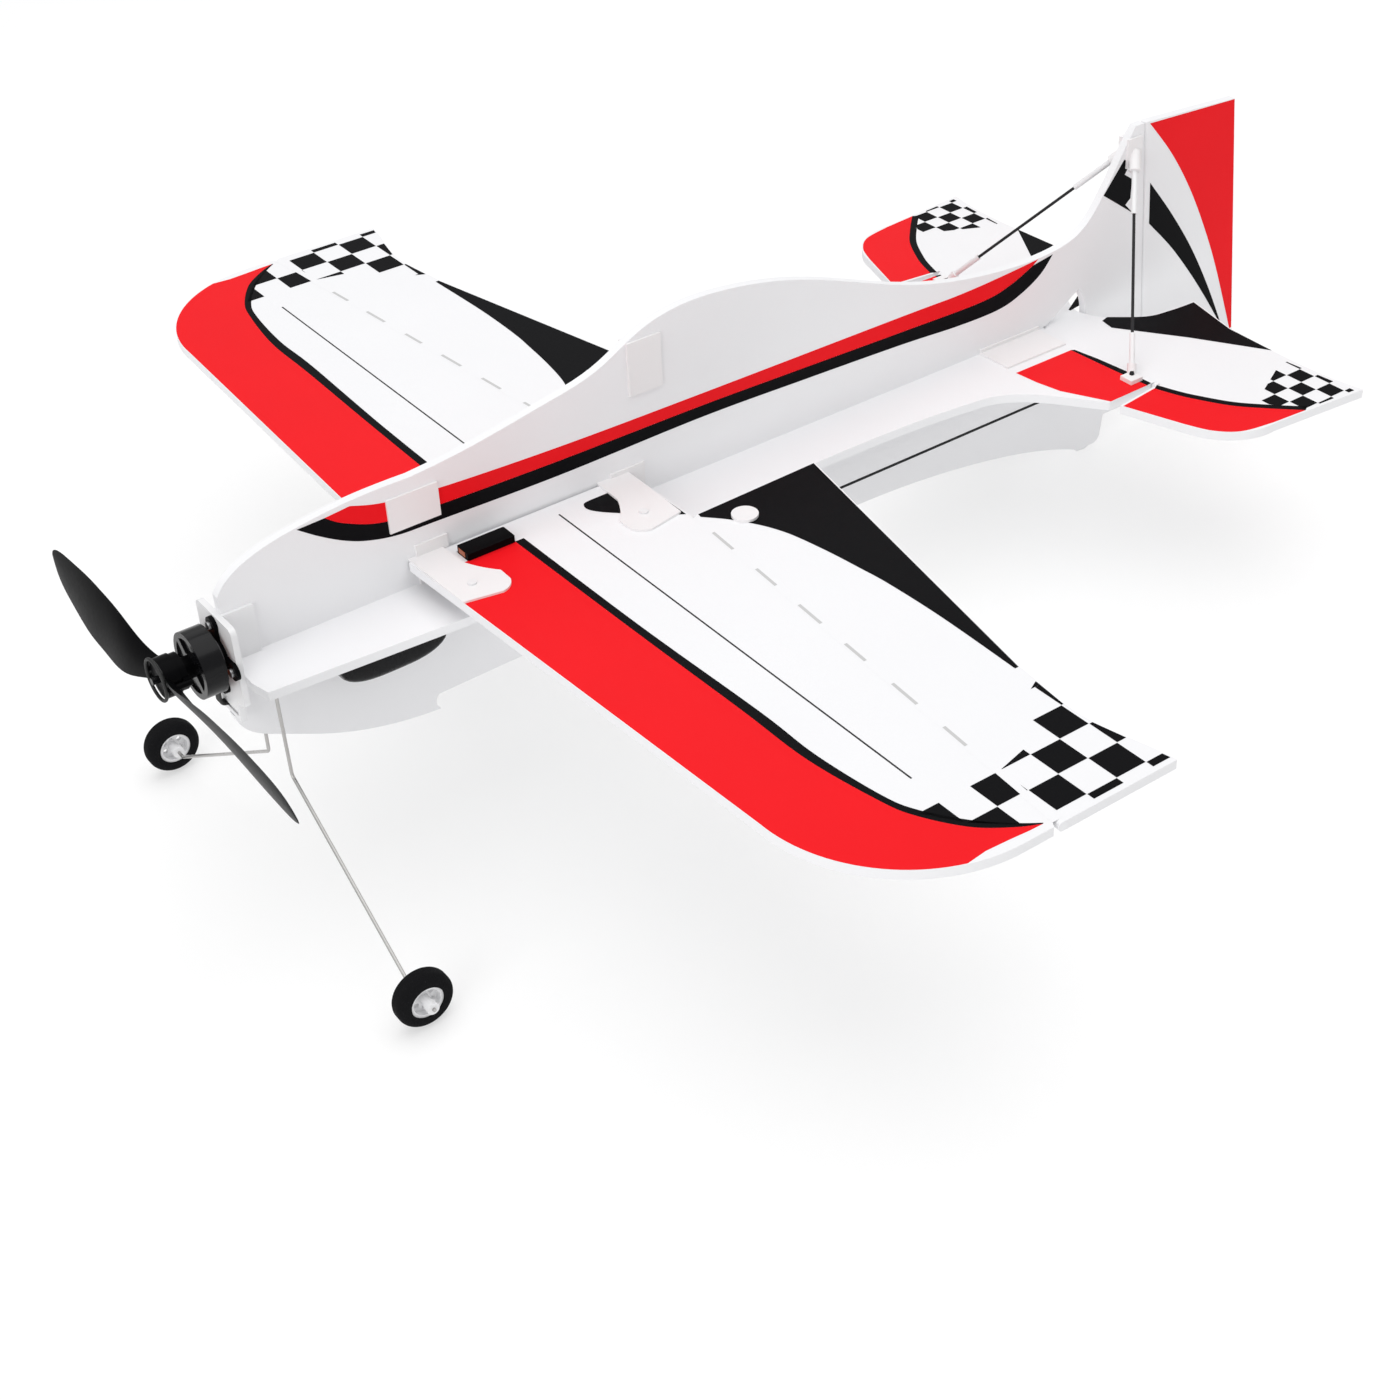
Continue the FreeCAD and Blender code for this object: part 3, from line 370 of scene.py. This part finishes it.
def hinge_film(name, start, end, top, side, count=24):
    """The thin skin of foam left over a hinge line."""
    (x0, y0), (x1, y1) = start, end
    verts, faces = [], []
    for k in range(count + 1):
        x = x0 + (x1 - x0) * k / count
        y = y0 + (y1 - y0) * k / count
        verts += [at(side * x, y + d, top + FILM_HEIGHT) for d in FILM_OFFSETS]
    width = len(FILM_OFFSETS)
    for k in range(count):
        for m in range(width - 1):
            a = k * width + m
            quad = (a, a + width, a + width + 1, a + 1)
            faces.append(quad if side > 0 else quad[::-1])
    skin = bpy.data.meshes.new(name)
    skin.from_pydata(verts, [], faces)
    skin.materials.append(FOAM_WHITE)
    made = bpy.data.objects.new(name, skin)
    bpy.context.scene.collection.objects.link(made)
    middle = (x0 + x1) / 2 * side, (y0 + y1) / 2
    at(middle[0], middle[1] + FILM_START, top)
    at(middle[0], middle[1] + FILM_END, top)
    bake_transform(made)


def aileron_hinge(side, label):
    """The skin over an aileron's hinge line, and in front of it the row of cuts, drawn as grey patches of painted
    shade.
    """
    name = "hinge_film_" + label
    start, end = ((x, hinge_y(x)) for x in AILERON_FILM)
    hinge_film(name, start, end, 0.0, side)
    cuts = [[(a, hinge_y(a) + DASH_FRONT), (b, hinge_y(b) + DASH_FRONT),
             (b, hinge_y(b) + DASH_REAR), (a, hinge_y(a) + DASH_REAR)] for a, b in DASHES]
    ink(name + "_cuts", "airframe", cuts, flat_face(CUT_SHADE_LIFT, side), "grey", side < 0)


def elevator_hinge(side, label):
    start, end = ((x, ELEVATOR_Y) for x in TAIL_FILM)
    hinge_film("hinge_film_tail_" + label, start, end, TAIL_TOP, side)


# ---- tail print -------------------------------------------------------------------------
STAB_PIN = [(26, 216.4), (42.6, 217.2), (60.5, 218.2), (72, 219.2)]
STAB_PIN_REAR = [(71.6, 222.0), (57, 221.4), (40, 219.9), (27, 217.9)]
STAB_RED = [(26, 182.5), (38.4, 183.6), (51, 186.1), (72.2, 196.6)]
ELEVATOR_PIN = [(76.2, 219.6), (86, 222.7), (94, 226.1), (108.4, 234.0), (120.4, 244.3),
                (131.8, 255.5)]
ELEVATOR_PIN_STEP = (-1.7, 3.0)  # from the pin line's front edge to its rear edge
ELEVATOR_ROOT = [(76.0, 219.6), (78.6, 197.8)]
ELEVATOR_RIM = [(107, 206.8), (118.6, 212), (126.8, 221.2), (130.2, 237)]
ELEVATOR_BAY = [(28.6, 293.6), (27.6, 280), (24.6, 266.5), (13.2, 252)]
BAY_PATCH = [(14.4, 247.6), (22.2, 246.0), (52, 266), (85, 285.4), (58, 286.4)]
FAR_PATCH = [(14.4, 261.6), (12.8, 262), (4.7, 256.8), (2.8, 243.5), (4.0, 243.5)]
TAIL_CORNER, TAIL_CELL = (105.1, 273.0), 8.58
TAIL_CELLS = [(0, 0), (0, -2), (1, -1), (2, 0), (1, 1), (-1, 1), (3, 1), (3, -1), (2, -2),
              (1, -3), (-1, -1)]
# The lines that end the tail's checkers; what lies to the left of each is kept.
TAIL_LIMITS = [((129.8, 237), (133.7, 288)), ((150, 286.3), (58, 279.55)),
               ((86, 224), (131, 256.5)), ((95.6, 279.3), (108.9, 253.5))]


def tail_checkers():
    rings = []
    for i, j in TAIL_CELLS:
        square = cell(TAIL_CORNER, TAIL_CELL, i, j)
        for start, end in TAIL_LIMITS:
            square = clip(square, start, end)
        if len(square) > 2:
            rings.append(square)
    return rings


def tail_print(side, label):
    turned = side < 0
    red, black = (flat_face(TAIL_TOP + height, side) for height in (INK_RED, INK_BLACK))
    ink("print_red_stab_" + label, "airframe", [STAB_RED + STAB_PIN[::-1]], red, "red", turned)
    ink("print_pin_stab_" + label, "airframe", [STAB_PIN + STAB_PIN_REAR], black, "black", turned)

    pin = smooth_line(ELEVATOR_PIN)
    leading = ELEVATOR_ROOT + smooth_line(ELEVATOR_RIM) + pin[::-1]
    ink("print_red_elevator_" + label, "elevator", [leading], red, "red", turned)
    pin_rear = [(x + ELEVATOR_PIN_STEP[0], y + ELEVATOR_PIN_STEP[1]) for x, y in pin]
    rings = [pin + pin_rear[::-1], smooth_line(ELEVATOR_BAY) + BAY_PATCH, *tail_checkers()]
    if side < 0:
        rings.append(FAR_PATCH)
    ink("print_black_elevator_" + label, "elevator", rings, black, "black", turned)


# ---- fuselage and fin print -------------------------------------------------------------
STRIPE_TOP = [(-141, 34.0), (-127, 30.0), (-102, 27.0), (-46, 24.5), (24, 23.5), (134, 22.8),
              (169, 22.4), (197, 23.6), (216, 25.0)]
STRIPE_MIDDLE = [(-152, 33.0), (-144, 27.5), (-128, 21.5), (-103, 19.6), (-46, 18.2), (24, 17.8),
                 (77, 16.6), (134, 15.2), (181, 14.4), (199, 17.2), (213, 22.8)]
STRIPE_LOW = [(-164, 32.6), (-155, 26), (-145, 20), (-135, 16), (-122, 13.4), (-103, 12.8),
              (-47, 11.6), (24, 12.4), (77, 11), (134, 9), (169, 7), (193, 7.2), (207, 11),
              (218, 17), (225, 24.6)]
RUDDER_RED = [(282.0, 71.9), (298.5, 52.5), (313, 31), (326, 7), (337.5, -18), (352.4, -56)]
RUDDER_REAR = [(353.7, -55.4), (337.8, 68.7)]
RUDDER_STRIP = ([(285.4, 42), (302, 21.5), (318, -1), (333, -26.5), (347, -54)],
                [(287.0, 21), (304, 3.5), (320, -16), (334, -35), (347, -54)])
FIN_PATCH = [(267, 58.6), (271, 55.8), (268, 51), (273, 47.5), (273, 38), (270, 35.5),
             (275.5, 29.8), (255.2, 44.4)]


def side_print(side, label):
    """The two-coloured stripe along the fuselage and the print on fin and rudder."""
    turned = side < 0
    red, black = (side_face(side * (SIDE + height)) for height in (INK_RED, INK_BLACK))
    top, middle, low = (smooth_line(line) for line in (STRIPE_TOP, STRIPE_MIDDLE, STRIPE_LOW))
    upper, lower = top + middle[::-1], middle + low[::-1]
    ink("print_red_stripe_" + label, "airframe", [upper[::-1]], red, "red", turned)
    ink("print_black_stripe_" + label, "airframe", [lower[::-1]], black, "black", turned)
    ink("print_fin_" + label, "airframe", [FIN_PATCH[::-1]], black, "black", turned)
    strip = smooth_line(RUDDER_STRIP[0]) + smooth_line(RUDDER_STRIP[1])[::-1][1:]
    ink("print_rudder_strip_" + label, "rudder", [strip[::-1]], black, "black", turned)
    rear = smooth_line(RUDDER_RED) + RUDDER_REAR
    ink("print_rudder_red_" + label, "rudder", [rear], red, "red", turned)


# ---- motor, battery and small trim ------------------------------------------------------
COIL_LENGTH = 7.45
COIL_INNER, COIL_OUTER = 5.9, 11.0  # radii about the motor's shaft
COIL_HALF, COIL_FLARE = 1.5, 0.13   # half width at the inner radius, and its growth outwards
COIL_CORNER = 0.15                  # the share of a loop's side that each corner rounds off


def copper_windings(teeth=9, turns=10, wire=0.26):
    """Each tooth's coil as closed loops of wire, stacked outwards from the motor's shaft."""
    front, rear = BELL_REAR - COIL_LENGTH, BELL_REAR
    loops = bpy.data.curves.new("copper_windings", "CURVE")
    loops.dimensions = "3D"
    loops.bevel_depth = wire * MM
    loops.bevel_resolution = 2
    for tooth in range(teeth):
        turn = math.radians(360 * tooth / teeth)
        for k in range(turns):
            radius = COIL_INNER + (COIL_OUTER - COIL_INNER) * k / (turns - 1)
            half = COIL_HALF + COIL_FLARE * (radius - COIL_INNER)
            corners = [(-half, front), (half, front), (half, rear), (-half, rear)]
            spline = loops.splines.new("NURBS")
            spline.points.add(7)
            ring = []
            for (u0, v0), (u1, v1) in zip(corners, corners[1:] + corners[:1]):
                ring += [(u0 + (u1 - u0) * t, v0 + (v1 - v0) * t)
                         for t in (COIL_CORNER, 1 - COIL_CORNER)]
            for point, (u, v) in zip(spline.points, ring):
                x = u * math.cos(turn) + radius * math.sin(turn)
                z = -u * math.sin(turn) + radius * math.cos(turn)
                point.co = (*at(x, v, MOTOR_Z + z), 1.0)
            spline.use_cyclic_u = True
            spline.order_u = 3
    made = bpy.data.objects.new("copper_windings", loops)
    bpy.context.scene.collection.objects.link(made)
    loops.materials.append(LOOKS["copper"])
    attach(made, "airframe")
    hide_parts("motor_windings")


BATTERY_MIDDLE, BATTERY_HALF = (16.0, -143.0), (12.8, 24.0)  # across and along, seen from above
BATTERY_TOP, BATTERY_DEPTH = -16.1, 13.3
END_WIDTH, END_DEPTH = 0.93, 0.30   # what the ends keep of the width and of the depth
END_POWER, END_CURVE = 3.2, 0.55    # how late and how roundly it thins towards the ends
WIDE_POWER, DEEP_POWER = 0.42, 0.6  # below 1, these square off its oval section


def battery_pouch(columns=40, rows=28):
    """A soft wrapped pack: a crowned block that thins towards its two ends."""
    (middle, mean), (half, reach), top = BATTERY_MIDDLE, BATTERY_HALF, BATTERY_TOP
    verts, faces = [], []
    for i in range(rows + 1):
        v = -1 + 2 * i / rows
        swell = (1 - abs(v) ** END_POWER) ** END_CURVE
        y = mean + v * reach
        depth = BATTERY_DEPTH * (END_DEPTH + (1 - END_DEPTH) * swell)
        for k in range(columns):
            turn = 2 * math.pi * k / columns
            c, s = math.cos(turn), math.sin(turn)
            width = half * (END_WIDTH + (1 - END_WIDTH) * swell)
            u = math.copysign(abs(c) ** WIDE_POWER, c) * width
            w = math.copysign(abs(s) ** DEEP_POWER, s)
            z = top - depth / 2 + w * depth / 2
            verts.append(at(middle + u, y, z))
    for i in range(rows):
        for k in range(columns):
            a, b = i * columns + k, i * columns + (k + 1) % columns
            faces.append((a, b, b + columns, a + columns))
    faces.append(range(columns)[::-1])
    faces.append(range(rows * columns, (rows + 1) * columns))
    faces = [tuple(f)[::-1] for f in faces]
    pack = piece("battery_pouch", "airframe", verts, faces, LOOKS["battery_wrap"],
                 smooth=True)
    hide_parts("battery")


SLAB_BEVEL = 0.05


def rounded_slab(name, body, low, high, radius, look):
    """A block with rounded upright edges, from two corners in the level frame."""
    (x0, y0, z0), (x1, y1, z1) = low, high
    ring = []
    for cx, cy, start in ((x1 - radius, y1 - radius, 0), (x0 + radius, y1 - radius, 90),
                          (x0 + radius, y0 + radius, 180), (x1 - radius, y0 + radius, 270)):
        ring += arc_line((cx, cy), radius, start, start + 90, 6)
    count = len(ring)
    verts = [at(x, y, z0) for x, y in ring] + [at(x, y, z1) for x, y in ring]
    faces = [(k, (k + 1) % count, count + (k + 1) % count, count + k) for k in range(count)]
    faces += [tuple(range(count))[::-1], tuple(range(count, 2 * count))]
    made = piece(name, body, verts, faces, look)
    edge = made.modifiers.new("soft_edges", "BEVEL")
    edge.width = SLAB_BEVEL * MM
    edge.segments = 2
    return made


SERVO_LABEL = ((10.2, -101.16, 0.5), (15.0, -100.9, 2.8))  # two corners, on the left side


def servo_end(side, label):
    """The small orange label on the front end of an aileron servo."""
    (xa, ya, za), (xb, yb, zb) = SERVO_LABEL
    low_x, high_x = sorted((side * xa, side * xb))
    rounded_slab("servo_end_" + label, "airframe", (low_x, ya, za), (high_x, yb, zb), 0.1,
                 LOOKS["servo_orange"])


# ---- floor, light and camera ------------------------------------------------------------
CAMERA_AT = at(680.81, -448.20, 479.69)
CAMERA_AZIMUTH, CAMERA_ELEVATION, CAMERA_ROLL = 59.13, 39.56, -8.53  # degrees
CAMERA_LENS, CAMERA_SENSOR = 57.49, 36.0  # millimetres

FLOOR_REACH, FLOOR_Z = 6.0, -0.0002
WORLD_STRENGTH = 0.50
LAMPS = (("overhead", (0.1, 0.3, 2.2), 2.6, 33.0),  # name, place, side of the square, watts
         ("front", (1.0, -2.2, 1.1), 1.6, 20.0),
         ("back", (-1.8, 1.2, 1.6), 1.6, 6.0))


def stage_floor():
    """White paper that glows a little, as a lit studio sweep does."""
    mesh = bpy.data.meshes.new("floor")
    corners = [(x * FLOOR_REACH, y * FLOOR_REACH, FLOOR_Z)
               for x, y in ((-1, -1), (1, -1), (1, 1), (-1, 1))]
    mesh.from_pydata(corners, [], [(0, 1, 2, 3)])
    mesh.materials.append(material("floor_paper", (0.5, 0.5, 0.5), 0.9, 0.995, 300, 0.02, 2,
                                   specular=0.0, glow=1.0))
    floor = bpy.data.objects.new("floor", mesh)
    bpy.context.scene.collection.objects.link(floor)


def lights():
    world = bpy.data.worlds.new("studio")
    world.use_nodes = True
    world.node_tree.nodes["Background"].inputs["Color"].default_value = (1, 1, 1, 1)
    world.node_tree.nodes["Background"].inputs["Strength"].default_value = WORLD_STRENGTH
    bpy.context.scene.world = world
    for name, place, size, power in LAMPS:
        lamp = bpy.data.lights.new(name, "AREA")
        lamp.shape = "SQUARE"
        lamp.size = size
        lamp.energy = power
        holder = bpy.data.objects.new(name, lamp)
        holder.location = place
        holder.rotation_euler = (-Vector(place)).to_track_quat("-Z", "Y").to_euler()
        bpy.context.scene.collection.objects.link(holder)


def camera():
    azimuth, elevation = math.radians(CAMERA_AZIMUTH), math.radians(CAMERA_ELEVATION)
    back = Vector((math.sin(azimuth) * math.cos(elevation),
                   -math.cos(azimuth) * math.cos(elevation), math.sin(elevation)))
    right = (-back).cross(Vector((0, 0, 1))).normalized()
    up = back.cross(right)
    roll = math.radians(CAMERA_ROLL)
    across = right * math.cos(roll) + up * math.sin(roll)
    axes = Matrix((across, back.cross(across), back)).transposed()
    data = bpy.data.cameras.new("camera")
    data.lens = CAMERA_LENS
    data.sensor_width = CAMERA_SENSOR
    holder = bpy.data.objects.new("camera", data)
    holder.matrix_world = Matrix.Translation(CAMERA_AT) @ axes.to_4x4()
    bpy.context.scene.collection.objects.link(holder)
    bpy.context.scene.camera = holder
    bpy.context.scene.view_settings.view_transform = "Standard"


dress_cad_nodes()
for side, label in SIDES:
    wing_print(side, label)
    tail_print(side, label)
    side_print(side, label)
    aileron_hinge(side, label)
    elevator_hinge(side, label)
copper_windings()
battery_pouch()
for side, label in SIDES:
    servo_end(side, label)
stage_floor()
lights()
camera()
